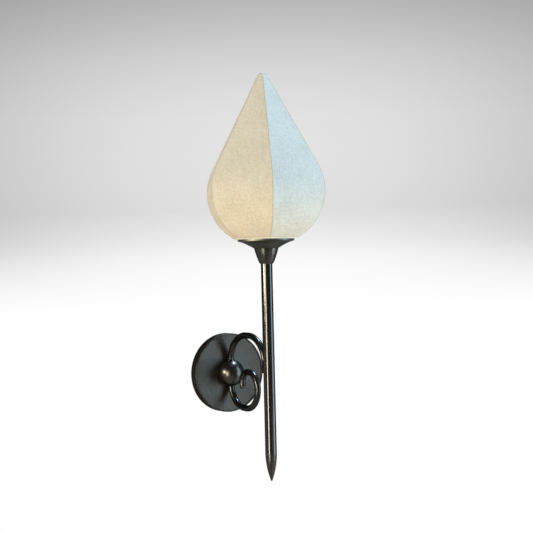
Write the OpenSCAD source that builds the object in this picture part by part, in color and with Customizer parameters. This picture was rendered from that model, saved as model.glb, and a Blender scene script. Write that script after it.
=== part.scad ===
// Torch sconce for a wall: a spun wall plate with a ball hub, a scrolled arm that carries an
// upright stem ending in a point, and a six-sided bud-shaped shade that lifts off its dish.
//
// Frame: the wall is the plane Y = 0, the room is on its -Y side and +Z is up. The origin is
// the middle of the wall plate's back. "Depth" is the distance from the wall, towards the room.
// All sizes are millimetres and all angles are degrees.

/* [Wall plate] */
// Outside diameter of the wall plate
plate_d = 120.6; // [114:0.1:132]
// Depth of the wall plate, from the wall to the top of its rolled rim
plate_depth = 14.8; // [14:0.1:18]
// Thickness of the wall plate's spun sheet
plate_sheet = 1.1; // [0.9:0.1:1.3]
// Width of the rolled rim
rim_w = 3.4; // [3.1:0.1:4.4]
// Drop from the top of the rim to the face
face_drop = 3; // [2.2:0.1:3.4]

/* [Mounting strap] */
// Width of the strap that screws to the wall box
strap_w = 22; // [18:0.5:28]
// Thickness of the strap
strap_t = 2; // [1.5:0.1:2.2]
// Height of the strap's bent tabs off the wall
tab_h = 8.6; // [7.8:0.1:9.4]
// Distance between the centres of the two slots
slot_gap = 79.4; // [76:0.1:84]
// Length of a slot from end to end
slot_l = 14.4; // [10:0.1:16]
// Width of a slot
slot_w = 4.8; // [4.2:0.1:5.5]
// Diameter of the wire hole in the middle of the strap
wire_hole_d = 14; // [10:0.5:16]
// Diameter of the ground screw's thread
ground_d = 4.7; // [3.8:0.1:5]
// Height of the ground screw above the middle of the strap
ground_up = 21; // [19:0.5:23]

/* [Lock screws] */
// Diameter of the headless screws that lock the plate to the strap's tabs
lock_d = 4; // [3:0.1:4.6]
// Distance of the lock screws from the wall
lock_depth = 5.2; // [4.8:0.1:5.4]
// Diameter of the nuts welded inside the rim
rim_nut_d = 9; // [7:0.1:9.4]
// Thickness of those nuts
rim_nut_t = 4; // [3:0.1:5]
// Gap between a nut and the tab that its screw presses on
tab_gap = 1; // [0.6:0.1:2]

/* [Ball hub] */
// Diameter of the ball
hub_d = 41; // [36:0.5:46]
// Diameter of the ball's threaded stud, which passes through the wall plate
stud_d = 13; // [12.4:0.1:14]
// Diameter of the wire way in the stud
stud_bore_d = 8; // [7:0.1:9]
// Width across the flats of the nut on the stud
hub_nut_w = 19; // [18:0.5:22]
// Thickness of that nut
hub_nut_t = 3; // [2.4:0.1:3.2]
// Diameter of the washer under the nut
hub_washer_d = 30; // [26:0.5:34]
// Thickness of that washer
hub_washer_t = 1.5; // [1.2:0.1:1.8]
// Length of stud that shows behind the nut
stud_proud = 0.6; // [0.3:0.1:0.8]

/* [Scrolled arm] */
// Diameter of the arm's tube and of the scroll's bar
arm_d = 9.5; // [8.5:0.1:10.5]
// Wall thickness of the arm's tube
arm_wall = 1; // [0.7:0.1:1.1]
// Gap between the arm and the face of the wall plate
arm_clear = 0.45; // [0.3:0.05:1.5]
// Height of the centres of the arm's two bends above the hub, and of the foot of its seat
arm_rise = 14.8; // [12:0.1:18]
// Distance of the arm's axis behind the back of the stem, where the two are welded
arm_set = 1.7; // [1:0.1:2.2]
// Length of the straight over the arm's top, between its two bends
arm_run = 9.2; // [4:0.1:14]
// Angle by which the arm runs on below the centre of its second bend
arm_dip = 12; // [11:0.5:15]

/* [Lower scroll] */
// Drop of the scroll's seated end below the hub's centre
tail_drop = 13; // [12:0.1:14]
// Radius of the quarter turn that leaves the ball
tail_r1 = 37.9; // [36:0.1:42]
// Radius of the second quarter turn, along the bottom
tail_r2 = 31.3; // [28:0.1:34]
// Radius of the third quarter turn, up the far side
tail_r3 = 23.3; // [21:0.1:25]
// Radius of the closing curl
tail_r4 = 15.4; // [14:0.1:17]
// Angle of the closing curl
curl_a = 122; // [100:1:140]
// Length of the straight along the bottom, between the first two turns
tail_run = 6.4; // [2:0.1:9]
// Length of the straight before the closing curl
curl_run = 3.6; // [1:0.1:5]

/* [Stem] */
// Distance of the stem's axis from the wall
stem_depth = 124; // [118:0.5:134]
// Outside diameter of the stem
stem_d = 17; // [15:0.1:18.5]
// Wall thickness of the stem
stem_wall = 1.2; // [1:0.1:1.5]
// Length of the stem's tube above the hub's centre
stem_up = 168.5; // [150:0.5:190]
// Length of the stem's tube below the hub's centre
stem_down = 109; // [90:0.5:130]
// Diameter of the wire window where the arm meets the stem
window_d = 6.6; // [6:0.1:7]
// Length of the turned point below the tube
point_l = 42; // [34:0.5:50]
// Diameter of the blunt tip of the point
point_tip_d = 1.6; // [1:0.1:3]
// Length of the point's spigot inside the tube
point_spigot_l = 14; // [10:0.5:20]
// Length of the threaded bushing in the top of the tube
bushing_l = 10; // [8:0.5:14]

/* [Neck cup and dish] */
// Height of the neck cup
neck_h = 22.3; // [20:0.1:26]
// Length of stem that the neck cup covers
neck_lap = 3.5; // [3:0.1:5]
// Diameter of the cup's foot
neck_foot_d = 22.2; // [21.5:0.1:25]
// Diameter of the cup's top
neck_top_d = 35.4; // [32:0.1:38]
// Swell of the cup's side, half way up
neck_swell = 0.5; // [0:0.1:1.2]
// Diameter of the dish's rim
dish_d = 82.2; // [78:0.1:88]
// Height of the dish's flare, from its floor to the foot of its lip
dish_h = 10.9; // [9.5:0.1:13]
// Thickness of the dish's spun sheet
dish_sheet = 1.2; // [1:0.1:1.5]
// Height of the upright lip round the dish
lip_h = 2.4; // [2.2:0.1:3]

/* [Lampholder] */
// Diameter of the threaded pipe that clamps cup, dish and lampholder
pipe_d = 9.7; // [9.3:0.1:10.5]
// Diameter of the wire way in that pipe
pipe_bore_d = 6.4; // [5.6:0.1:6.6]
// Width across the flats of the nut in the dish
pipe_nut_w = 14.3; // [13.5:0.1:16]
// Thickness of that nut
pipe_nut_t = 3; // [2.5:0.1:4]
// Outside diameter of the lampholder
holder_d = 37; // [34:0.5:39]
// Height of the lampholder's cap
cap_h = 9; // [8.4:0.1:10]
// Wall thickness of the lampholder's cap
cap_wall = 1.2; // [0.8:0.1:1.6]
// Thickness of the cap's threaded floor
cap_floor = 2.6; // [2:0.1:3]
// Height of the ceramic body
body_h = 45; // [43:0.5:48]
// Thickness of the ceramic under the screw shell
body_floor = 12; // [10:0.5:13]
// Thickness of the screw shell's brass
shell_t = 0.5; // [0.4:0.1:0.8]
// Distance between the two terminal screws
terminal_gap = 19; // [17:0.5:21]

/* [Bulb] */
// Diameter of the bulb's glass
bulb_d = 60; // [50:0.5:61]
// Height of the centre of the bulb's globe above its contact
bulb_centre_h = 76; // [72:0.5:82]
// Diameter of the bulb's screw cap
bulb_cap_d = 26.1; // [25:0.1:26.2]
// Height of the screw cap
bulb_cap_h = 22; // [20:0.1:24]
// Thickness of the bulb's glass
glass_t = 0.8; // [0.5:0.1:1.2]
// Clearance all round the bulb's screw cap in its shell
thread_gap = 0.35; // [0.3:0.05:0.5]

/* [Shade] */
// Width of the shade across the flats of its belly
shade_w = 161.8; // [154:0.1:172]
// Angle by which the loose shade stands turned from square to the wall
shade_turn = 3.6; // [-30:0.1:30]
// Height of the sharp apex of the shade's cone above its belly
cone_h = 182; // [160:0.5:200]
// Radius of the rounded tip
tip_r = 7; // [5:0.1:9]
// Thickness of a shade panel
panel_t = 1; // [0.6:0.1:1.2]
// Overhang of the shade's bottom beyond the rim of the dish
overhang = 0.6; // [0.3:0.1:1.2]
// Thickness of the trim round the bottom edge
trim_t = 0.5; // [0.3:0.1:1]
// Height of that trim
trim_h = 1.6; // [1:0.1:3]
// Width of the frame's bent strips
rib_w = 3; // [2:0.1:4]
// Thickness of the frame's bent strips
rib_t = 1.6; // [1.2:0.1:2.4]
// Diameter of the hub that joins the strips under the tip
apex_d = 15; // [12:0.5:16]
// Height of that hub
apex_h = 12; // [8:0.5:16]
// Diameter of the hole in the frame's bottom ring, which passes the bulb
mouth_d = 72; // [68:0.5:72.6]
// Thickness of the bottom ring
ring_t = 1.2; // [1:0.1:1.6]

/* [Wiring] */
// Outside diameter of an insulated wire
wire_d = 2; // [1.6:0.1:2.1]
// Distance between the two wires
wire_gap = 2.4; // [2.2:0.1:2.6]
// Diameter of a wire's bare copper
copper_d = 1.2; // [0.8:0.1:1.4]
// Radius of a wire's tightest bends
wire_bend_r = 2.4; // [2:0.1:2.5]
// Distance of the stored leads from the middle of the wall plate
lead_side = 40; // [34:0.5:44]
// Length of a stored lead along the side of the wall plate
lead_up = 14; // [8:0.5:20]
// Length of a stripped wire end
strip_l = 6; // [4:0.5:10]

/* [Fits] */
// Radial clearance of threads, spigots and welded seats
fit = 0.05; // [0.02:0.01:0.1]
// Clearance under a piece that rests in place and lifts off
rest_gap = 0.2; // [0.1:0.05:0.4]
// Clearance all round between the shade's collar and the lip of the dish
collar_gap = 0.4; // [0.2:0.05:0.8]

/* [Hidden] */

$fn = 72;
hex = 6;        // sides of a nut and of the shade
cut = 1;        // run-out of a cutting tool past the face it cuts
big = 400;      // larger than the shade

bronze = [0.16, 0.14, 0.13];
zinc = [0.72, 0.73, 0.74];
copper = [0.72, 0.42, 0.26];
brass = [0.78, 0.64, 0.36];
ceramic = [0.93, 0.92, 0.88];
parchment = [0.90, 0.84, 0.70];
tape = [0.96, 0.91, 0.78];

// Wall plate and strap
lock_sunk = 0.3;                // from the rim's surface to the outer end of a lock screw
plate_r = plate_d / 2;
rim_r = rim_w / 2;
face_front = plate_depth - face_drop;
face_back = face_front - plate_sheet;
rim_inside = plate_r - plate_sheet;
tab_face = rim_inside - rim_nut_t - tab_gap;
lock_l = plate_r - tab_face - lock_sunk;
ground_foot = 0.2;              // from the wall to the end of the ground screw
ground_head_d = 2 * ground_d;
ground_head_t = 2.4;
driver_w = 0.8;                 // width and depth of the slot in its head
ground_loop_r = ground_d / 2 + copper_d / 2 + fit;
ground_tap = hub_washer_d / 2 - 2;  // height at which the ground wire meets the hub's washer

// Ball hub
hub_depth = face_front + arm_d / 2 + arm_clear;
hub_bend_r = 5.5;
hub_nut_back = face_back - hub_washer_t - hub_nut_t;
stud_back = hub_nut_back - stud_proud;

// Scrolled arm and lower scroll
arm_bore_d = arm_d - 2 * arm_wall;
arm_end = stem_depth - stem_d / 2 - arm_set;
arm_bend_r = (arm_end - hub_depth - arm_run) / 2;
arm_mid = hub_depth + arm_bend_r;
bore_dip = arm_dip - 3.5;
seat_a = 60;        // angle of bend that a socket in the ball takes in

// Stem
stem_bore_d = stem_d - 2 * stem_wall;
turn_r = (stem_depth - arm_end) / 2;
window_x = arm_end + turn_r - (stem_depth - stem_d / 2 + stem_wall / 2);
window_up = arm_rise - sqrt(turn_r * turn_r - window_x * window_x);

// Neck cup, dish and lampholder, upwards from the top of the stem
neck_z = stem_up - neck_lap;
floor_z = neck_z + neck_h;
foot_h = 2.6;                   // height of the bevel under the cup's foot
foot_land = 0.6;                // width of the flat that the bevel leaves round the stem
groove_places = [0.24, 0.5];    // two turned lines, at shares of the cup's height
groove_r = 0.5;
dish_r = dish_d / 2;
flare_power = 1.35;             // how much the dish flattens towards its rim
dish_floor_r = neck_top_d / 2 - foot_land;
lip_z = floor_z + dish_h + lip_h;
pipe_nut_z = floor_z + dish_sheet;
cap_z = pipe_nut_z + pipe_nut_t;
body_z = cap_z + cap_h;
shell_z = body_z + body_floor;
pipe_top = cap_z + cap_floor;
terminal_d = 3.2;
terminal_l = 7;                 // depth of a terminal's hole in the ceramic
terminal_plate_t = 1.6;         // the round foot under the wire
terminal_head_t = 1;
terminal_z = body_z - 1.2 - wire_d / 2;
wire_turn_z = terminal_z - wire_bend_r;

// Bulb
shell_d = bulb_cap_d + 2 * thread_gap;
shell_hole_d = shell_d - 10;    // the hole in the shell's floor, round the centre contact
contact_z = shell_z + 2;
contact_d = 9;
contact_post_d = 5;
contact_t = 0.6;
bulb_z = contact_z + rest_gap;
solder_d = 9.2;
solder_h = 1.4;
insulator_top_d = 18;
insulator_foot_d = 11;
insulator_h = 2;
bulb_cap_z = bulb_z + solder_h + insulator_h;
bulb_cap_sheet = 0.6;
bulb_cap_taper = 3.4;           // height of the screw cap's tapered foot
cap_top_z = bulb_cap_z + bulb_cap_h;
globe_z = bulb_z + bulb_centre_h;
neck_turn = 35;     // angle below its equator at which the globe runs into the neck

// Shade: each flat is an arc about the belly's centre, then a tangent, then the tip's arc
shade_z = lip_z + rest_gap;
belly_r = shade_w / 2;
apex_drop = 3;                  // from the centre of the tip's round to the top of its hub
glue_gap = 0.2;                 // between the frame and the panels glued over it
belly_z = shade_z + sqrt(pow(belly_r, 2) - pow(dish_r + overhang, 2));
cone_a = asin(belly_r / cone_h);
tip_z = belly_z + cone_h - tip_r / sin(cone_a);
apex_z = tip_z - apex_h - apex_drop;
collar_h = 1.3;                 // depth to which the shade's collar reaches into the dish
collar_d = dish_d - 2 * dish_sheet - 2 * collar_gap;
ring_w = sqrt(pow(belly_r - panel_t, 2) - pow(belly_z - shade_z, 2)) - glue_gap;

// ---- Directions ------------------------------------------------------------------------

// Local X, Y, Z become sideways, up and out from the wall
module face_plane() rotate([90, 0, 0]) children();

// Local X, Y become depth and height, in the plane of the scrolls
module scroll_plane() rotate([90, 0, -90]) children();

// Local X, Y become sideways and depth, in the level plane through the hub
module level_plane() rotate([180, 0, 0]) children();

module at_stem() translate([0, -stem_depth, 0]) children();

module at_shade() at_stem() rotate([0, 0, shade_turn]) children();

// ---- Shapes used more than once --------------------------------------------------------

module ring(d_out, d_in, h)
    difference() {
        cylinder(d = d_out, h = h);
        translate([0, 0, -cut]) cylinder(d = d_in, h = h + 2 * cut);
    }

module hex_nut(w, d_in, h)
    difference() {
        cylinder(d = w / cos(180 / hex), h = h, $fn = hex);
        translate([0, 0, -cut]) cylinder(d = d_in, h = h + 2 * cut);
    }

// A bar bent about a centre, from one angle to another
module bend(centre, r, from, to, bar_d)
    translate([centre.x, centre.y, 0]) rotate([0, 0, from]) rotate_extrude(angle = to - from)
        translate([r, 0]) circle(d = bar_d);

// A straight bar from a point along a heading, in the local XY plane
module straight(start, heading, l, bar_d)
    translate([start.x, start.y, 0]) rotate([0, 0, heading]) rotate([0, 90, 0])
        cylinder(d = bar_d, h = l);

// Left-hand bends one after another, each [radius, angle, length of the straight after it]
module bend_chain(start, heading, bends, bar_d) {
    r = bends[0][0];
    a = bends[0][1];
    run = bends[0][2];
    centre = start + r * [-sin(heading), cos(heading)];
    end = centre + r * [sin(heading + a), -cos(heading + a)];
    bend(centre, r, heading - 90, heading - 90 + a, bar_d);
    if (run > 0) straight(end, heading + a, run, bar_d);
    if (len(bends) > 1)
        bend_chain(end + run * [cos(heading + a), sin(heading + a)], heading + a,
            [for (i = [1 : len(bends) - 1]) bends[i]], bar_d);
}

// Points of an arc about a centre, from one angle to another
function arc(centre, r, from, to, n = 12) =
    [for (i = [0 : n]) let (a = from + (to - from) * i / n) centre + r * [cos(a), sin(a)]];

// ---- Wall plate and its fixing ---------------------------------------------------------

module wall_plate() color(bronze) face_plane() difference() {
    rotate_extrude() polygon(concat(
        [[rim_inside, 0], [plate_r, 0]],
        arc([plate_r - rim_r, plate_depth - rim_r], rim_r, 0, 180),
        [[plate_r - rim_w, face_front], [stud_d / 2 + fit, face_front],
            [stud_d / 2 + fit, face_back], [plate_r - rim_w + plate_sheet, face_back]],
        arc([plate_r - rim_r, plate_depth - rim_r], rim_r - plate_sheet, 180, 0)
    ));
    for (side = [90, -90]) rotate([0, 0, side]) translate([0, 0, lock_depth]) rotate([0, 90, 0])
        cylinder(d = lock_d + 2 * fit, h = plate_d);
}

module mounting_strap() color(zinc) face_plane() difference() {
    union() {
        translate([-strap_w / 2, -tab_face, 0]) cube([strap_w, 2 * tab_face, strap_t]);
        for (side = [0, 1]) mirror([0, side, 0])
            translate([-strap_w / 2, tab_face - strap_t, 0]) cube([strap_w, strap_t, tab_h]);
    }
    translate([0, 0, -cut]) cylinder(d = wire_hole_d, h = strap_t + 2 * cut);
    translate([0, ground_up, -cut]) cylinder(d = ground_d + 2 * fit, h = strap_t + 2 * cut);
    for (side = [0, 1]) mirror([0, side, 0]) translate([0, slot_gap / 2, -cut]) slot();
}

module slot() {
    reach = (slot_l - slot_w) / 2;
    for (end = [-reach, reach]) translate([0, end, 0])
        cylinder(d = slot_w, h = strap_t + 2 * cut);
    translate([-slot_w / 2, -reach, 0]) cube([slot_w, 2 * reach, strap_t + 2 * cut]);
}

// Both lock screws and their nuts point at the axis of the plate, from above and below
module at_locks() face_plane() for (side = [90, -90])
    rotate([0, 0, side]) translate([0, 0, lock_depth]) rotate([0, 90, 0]) children();

module rim_nuts() color(zinc) at_locks() intersection() {
    translate([0, 0, tab_face + tab_gap])
        ring(rim_nut_d, lock_d + 2 * fit, rim_nut_t + plate_sheet);
    rotate([0, 90, 0]) translate([0, 0, -rim_nut_d])
        cylinder(r = rim_inside, h = 2 * rim_nut_d, $fn = 180);
}

module lock_screws() color(zinc) at_locks() translate([0, 0, tab_face]) difference() {
    cylinder(d = lock_d, h = lock_l);
    translate([0, 0, lock_l - lock_d / 2]) cylinder(d = lock_d / 2, h = lock_d, $fn = hex);
}

module ground_screw() color("green") face_plane() translate([0, ground_up, 0]) {
    head_z = strap_t + copper_d + 2 * fit;
    translate([0, 0, ground_foot]) cylinder(d = ground_d, h = head_z - ground_foot);
    translate([0, 0, head_z]) difference() {
        cylinder(d = ground_head_d, h = ground_head_t);
        translate([-ground_head_d / 2, -driver_w / 2, ground_head_t - driver_w])
            cube([ground_head_d, driver_w, driver_w + cut]);
    }
}

// The bare wire loops round the ground screw, then steps out to the washer on the hub
module ground_wire() color(copper) {
    height = strap_t + copper_d / 2 + fit;
    face_plane() translate([0, 0, height]) {
        bend([0, ground_up], ground_loop_r, 0, 270, copper_d);
        straight([ground_loop_r, ground_up], -90, ground_up - ground_tap - wire_bend_r, copper_d);
    }
    translate([ground_loop_r, 0, 0]) scroll_plane() {
        bend([height + wire_bend_r, ground_tap + wire_bend_r], wire_bend_r, 180, 270, copper_d);
        straight([height + wire_bend_r, ground_tap], 0, face_back - height - wire_bend_r, copper_d);
    }
}

// ---- Hub -------------------------------------------------------------------------------

module hub_ball() color(bronze) difference() {
    union() {
        face_plane() difference() {
            translate([0, 0, hub_depth]) sphere(d = hub_d, $fn = 96);
            translate([0, 0, face_front - hub_d]) cylinder(d = 2 * hub_d, h = hub_d);
        }
        face_plane() translate([0, 0, stud_back]) cylinder(d = stud_d, h = hub_depth - stud_back);
    }
    face_plane() translate([0, 0, stud_back - cut])
        cylinder(d = stud_bore_d, h = hub_depth + arm_bore_d / 2 - stud_back + cut);
    translate([0, -hub_depth, 0]) cylinder(d = arm_bore_d, h = arm_rise + cut);
    scroll_plane() {
        bend([arm_mid, arm_rise], arm_bend_r, 180 - seat_a, 180, arm_d + 2 * fit);
        bend([hub_depth + tail_r1, -tail_drop], tail_r1, 180, 180 + seat_a, arm_d + 2 * fit);
    }
}

module hub_washer() color(zinc) face_plane() difference() {
    translate([0, 0, face_back - hub_washer_t])
        ring(hub_washer_d, stud_d + 2 * fit, hub_washer_t);
    translate([ground_loop_r, ground_tap, 0])
        cylinder(d = copper_d + 2 * fit, h = plate_depth);
}

module hub_nut() color(zinc) face_plane() translate([0, 0, hub_nut_back])
    hex_nut(hub_nut_w, stud_d + 2 * fit, hub_nut_t);

// ---- Scrolls ---------------------------------------------------------------------------

// The arm's course: an angle of its back bend, over the top, to an angle of its front bend
module arm_course(back, front, bar_d) scroll_plane() {
    bend([arm_mid, arm_rise], arm_bend_r, 90, back, bar_d);
    straight([arm_mid, arm_rise + arm_bend_r], 0, arm_run, bar_d);
    bend([arm_mid + arm_run, arm_rise], arm_bend_r, 90, front, bar_d);
}

// The arm is one length of tube, coped round the back of the stem; below the wire window its
// bore ends before the joint
module scroll_arm() color(bronze) difference() {
    arm_course(180, -arm_dip, arm_d);
    arm_course(180 + cut, -bore_dip, arm_bore_d);
    at_stem() translate([0, 0, -arm_d]) cylinder(d = stem_d + 2 * fit, h = arm_rise + 4 * arm_d);
}

module lower_scroll() color(bronze) scroll_plane() bend_chain([hub_depth, -tail_drop], -90, [
    [tail_r1, 90, tail_run], [tail_r2, 90, 0], [tail_r3, 90, curl_run], [tail_r4, curl_a, 0]
], arm_d);

// ---- Stem ------------------------------------------------------------------------------

module stem() color(bronze) at_stem() difference() {
    translate([0, 0, -stem_down]) ring(stem_d, stem_bore_d, stem_down + stem_up);
    translate([0, 0, window_up]) rotate([-90, 0, 0]) cylinder(d = window_d, h = stem_d);
}

// The point is an ogive: an arc that leaves the tube without a corner
module stem_point() color(bronze) at_stem() translate([0, 0, -stem_down]) {
    drop = (stem_d - point_tip_d) / 2;
    ogive_r = (point_l * point_l + drop * drop) / (2 * drop);
    rotate_extrude() polygon(concat(
        [[0, point_spigot_l], [stem_bore_d / 2 - fit - cut, point_spigot_l],
            [stem_bore_d / 2 - fit, point_spigot_l - cut], [stem_bore_d / 2 - fit, 0]],
        arc([stem_d / 2 - ogive_r, 0], ogive_r, 0, -asin(point_l / ogive_r), 14),
        [[0, -point_l]]
    ));
}

module stem_bushing() color(brass) at_stem() translate([0, 0, stem_up - bushing_l])
    ring(stem_bore_d - 2 * fit, pipe_d + 2 * fit, bushing_l);

// ---- Neck cup and dish -----------------------------------------------------------------

// The cup's side, at a share of the way up from the top of its bevelled foot
function cup_side(t) = [
    (neck_foot_d + (neck_top_d - neck_foot_d) * t) / 2 + neck_swell * sin(180 * t),
    foot_h + (neck_h - foot_h) * t
];

module neck_cup() color(bronze) at_stem() translate([0, 0, neck_z]) difference() {
    rotate_extrude() polygon(concat(
        [[0, 0], [stem_d / 2 + foot_land, 0]],
        [for (i = [0 : 12]) cup_side(i / 12)],
        [[0, neck_h]]
    ));
    for (t = groove_places) rotate_extrude() translate(cup_side(t)) circle(r = groove_r, $fn = 24);
    translate([0, 0, -cut]) cylinder(d = stem_d + 2 * fit, h = neck_lap + fit + cut);
    cylinder(d = pipe_d + 2 * fit, h = neck_h + cut);
}

// The dish's underside, at a share of the way out from its floor to its rim
function flare(t) = [
    dish_floor_r + (dish_r - dish_floor_r) * t,
    dish_h * (1 - pow(1 - t, flare_power))
];

module shade_dish() color(bronze) at_stem() translate([0, 0, floor_z]) {
    steps = 16;
    under_side = [for (i = [0 : steps]) flare(i / steps)];
    upper_side = [for (i = [steps - 1 : -1 : 0]) flare(i / steps) + [0, dish_sheet]];
    rotate_extrude() polygon(concat(
        [[pipe_d / 2 + fit, 0]],
        under_side,
        [[dish_r, dish_h + lip_h], [dish_r - dish_sheet, dish_h + lip_h],
            [dish_r - dish_sheet, dish_h + dish_sheet]],
        upper_side,
        [[pipe_d / 2 + fit, dish_sheet]]
    ));
}

// ---- Lampholder ------------------------------------------------------------------------

module clamp_pipe() color(zinc) at_stem() translate([0, 0, stem_up - bushing_l])
    ring(pipe_d, pipe_bore_d, pipe_top - stem_up + bushing_l);

module pipe_nut() color(zinc) at_stem() translate([0, 0, pipe_nut_z])
    hex_nut(pipe_nut_w, pipe_d + 2 * fit, pipe_nut_t);

module holder_cap() color(brass) at_stem() translate([0, 0, cap_z]) rotate_extrude() polygon([
    [pipe_d / 2 + fit, 0], [holder_d / 2 - 2, 0], [holder_d / 2, 2], [holder_d / 2, cap_h],
    [holder_d / 2 - cap_wall, cap_h], [holder_d / 2 - cap_wall, cap_floor],
    [pipe_d / 2 + fit, cap_floor]
]);

module at_terminals() at_stem() for (side = [-1, 1])
    translate([side * terminal_gap / 2, 0, 0]) children();

module holder_body() color(ceramic) difference() {
    at_stem() translate([0, 0, body_z]) difference() {
        cylinder(d = holder_d, h = body_h);
        translate([0, 0, body_floor]) cylinder(d = shell_d + 2 * shell_t + 2 * fit, h = body_h);
    }
    at_terminals() translate([0, 0, body_z - cut])
        cylinder(d = terminal_d + 2 * fit, h = terminal_l + cut);
}

module terminal_screws() color(brass) at_terminals() {
    foot_z = terminal_z - copper_d / 2 - terminal_plate_t;
    translate([0, 0, terminal_z + copper_d / 2]) cylinder(d = 2 * terminal_d, h = terminal_head_t);
    translate([0, 0, foot_z]) {
        cylinder(d = 2 * terminal_d, h = terminal_plate_t);
        cylinder(d = terminal_d, h = body_z + terminal_l - rest_gap - foot_z);
    }
}

module screw_shell() color(brass) at_stem() translate([0, 0, shell_z]) rotate_extrude() {
    shell_h = body_h - body_floor - 1;
    polygon([
        [shell_hole_d / 2, 0], [shell_d / 2 + shell_t, 0], [shell_d / 2 + shell_t, shell_h],
        [shell_d / 2, shell_h], [shell_d / 2, shell_t], [shell_hole_d / 2, shell_t]
    ]);
}

module centre_contact() color(brass) at_stem() {
    translate([0, 0, shell_z]) cylinder(d = contact_post_d, h = contact_z - shell_z - contact_t);
    translate([0, 0, contact_z - contact_t]) cylinder(d = contact_d, h = contact_t);
}

// ---- Bulb ------------------------------------------------------------------------------

module bulb_contact() color(zinc) at_stem() translate([0, 0, bulb_z]) rotate_extrude()
    polygon([[0, 0], [solder_d / 3, 0], [solder_d / 2, solder_h / 2], [solder_d / 2, solder_h],
        [0, solder_h]]);

module bulb_insulator() color([0.1, 0.1, 0.1]) at_stem()
    translate([0, 0, bulb_z + solder_h])
        cylinder(d1 = insulator_foot_d, d2 = insulator_top_d, h = insulator_h);

module bulb_cap() color(zinc) at_stem() translate([0, 0, bulb_cap_z]) rotate_extrude() {
    r = bulb_cap_d / 2;
    foot_r = insulator_top_d / 2;
    t = bulb_cap_sheet;
    polygon([[0, 0], [foot_r, 0], [r, bulb_cap_taper], [r, bulb_cap_h], [r - t, bulb_cap_h],
        [r - t, bulb_cap_taper + t / 2], [foot_r - t / 2, t], [0, t]]);
}

// Half outline of the glass, drawn in by some distance from its outside
function bulb_side(in) = concat(
    [[bulb_cap_d / 2 - in, cap_top_z],
        [bulb_cap_d / 2 - in, globe_z - bulb_d / 2 * sin(neck_turn)
            - (bulb_d / 2 * cos(neck_turn) - bulb_cap_d / 2) / tan(neck_turn)]],
    arc([0, globe_z], bulb_d / 2 - in, -neck_turn, 90, 20)
);

module bulb_glass() color([0.96, 0.96, 0.94, 0.6]) at_stem() rotate_extrude() {
    inside = bulb_side(glass_t);
    polygon(concat(
        bulb_side(0),
        [for (i = [len(inside) - 1 : -1 : 0]) inside[i]]
    ));
}

// ---- Shade -----------------------------------------------------------------------------

// The shade's side view as a bar along X: a belly, a tangent cone and a rounded tip, all
// drawn in by the same distance
module bud_bar(in) rotate([90, 0, 90]) translate([0, 0, -big / 2]) {
    touch = [cos(cone_a), sin(cone_a)];
    low = (belly_r - in) * touch;
    high = (tip_r - in) * touch;
    translate([0, belly_z, 0]) cylinder(r = belly_r - in, h = big, $fn = 144);
    translate([0, tip_z, 0]) cylinder(r = tip_r - in, h = big);
    linear_extrude(big) polygon([
        [low.x, belly_z + low.y], [high.x, tip_z + high.y],
        [-high.x, tip_z + high.y], [-low.x, belly_z + low.y]
    ]);
}

// The sixth of all space that one flat of the shade takes up, between two heights
module wedge(from, to) translate([0, 0, from]) linear_extrude(to - from)
    polygon([[0, 0], [-big * tan(180 / hex), -big], [big * tan(180 / hex), -big]]);

// A layer of the shade's skin on one flat, between two distances in from the outside
module skin(outer, inner, to) intersection() {
    difference() {
        bud_bar(outer);
        bud_bar(inner);
    }
    wedge(shade_z, to);
}

module panel(number) color(parchment) at_shade() rotate([0, 0, 360 / hex * (number - 1)])
    skin(0, panel_t, tip_z + 2 * tip_r);

module panel_1() panel(1);
module panel_2() panel(2);
module panel_3() panel(3);
module panel_4() panel(4);
module panel_5() panel(5);
module panel_6() panel(6);

// The whole bud, drawn in by some distance
module bud(in) intersection() {
    bud_bar(in);
    rotate([0, 0, 360 / hex]) bud_bar(in);
    rotate([0, 0, 2 * 360 / hex]) bud_bar(in);
}

// The tape round the bottom edge is one band, as thick as the bud grows
module edge_trim() color(tape) at_shade() difference() {
    intersection() {
        bud(-trim_t);
        translate([0, 0, shade_z]) cylinder(r = big, h = trim_h);
    }
    bud(0);
}

// Outline of a strip that lies along a corner of the shade, as radius and height
function rib_line(in) = [
    for (p = concat(
        arc([0, belly_z], belly_r - in, -asin((belly_z - shade_z - ring_t) / (belly_r - in)),
            cone_a, 16),
        arc([0, tip_z], tip_r - in, cone_a, cone_a, 1)
    )) [p.x / cos(180 / hex), p.y]
];

module frame_ribs() color(zinc) at_shade() difference() {
    in = panel_t + rib_t / 2 * sin(180 / hex) + glue_gap;
    inner = rib_line(in + rib_w);
    for (i = [1 : hex]) rotate([0, 0, 360 / hex * (i - 0.5) - 90]) rotate([90, 0, 0])
        translate([0, 0, -rib_t / 2]) linear_extrude(rib_t) polygon(concat(
            rib_line(in),
            [for (j = [len(inner) - 1 : -1 : 0]) inner[j]]
        ));
    translate([0, 0, apex_z - big]) cylinder(d = apex_d + 2 * fit, h = 2 * big);
}

module apex_hub() color(zinc) at_stem() translate([0, 0, apex_z]) cylinder(d = apex_d, h = apex_h);

// The hexagonal ring inside the bottom edge, with a collar that centres it in the dish's lip
module frame_ring() color(zinc) at_shade() translate([0, 0, shade_z]) difference() {
    union() {
        cylinder(r = ring_w / cos(180 / hex), h = ring_t, $fn = hex);
        translate([0, 0, -collar_h]) cylinder(d = collar_d, h = collar_h + ring_t);
    }
    translate([0, 0, -collar_h - cut]) cylinder(d = mouth_d, h = big);
}

// ---- Wiring ----------------------------------------------------------------------------

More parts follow.
